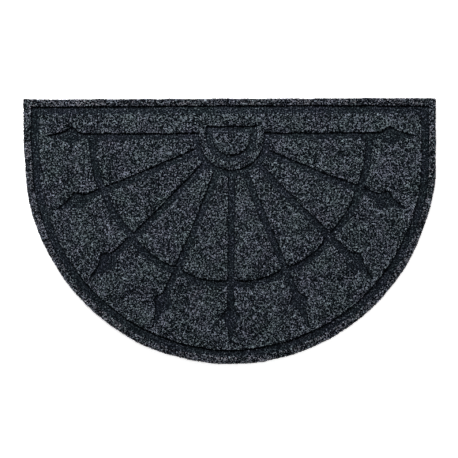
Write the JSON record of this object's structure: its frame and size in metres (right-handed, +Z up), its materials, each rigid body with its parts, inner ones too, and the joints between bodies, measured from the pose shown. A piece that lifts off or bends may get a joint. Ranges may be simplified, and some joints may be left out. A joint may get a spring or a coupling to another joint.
{
  "type": "half-round doormat",
  "caption": "Flat half-round felt doormat with a raised rim and a fanlight pattern of spokes, ring and spearheads pressed into its face.",
  "frame": {"origin": "on the surface the mat lies on, under the middle of its outline's box", "axes": "+X along the straight edge, +Y from the round edge towards the straight edge at the door, +Z up out of the face"},
  "size_m": [0.7, 0.45, 0.007],
  "materials": {
    "felt": "heathered charcoal needle-punched felt, pressed smooth in the grooves"
  },
  "bodies": {
    "root": {"mat": "felt"}
  },
  "joints": []
}
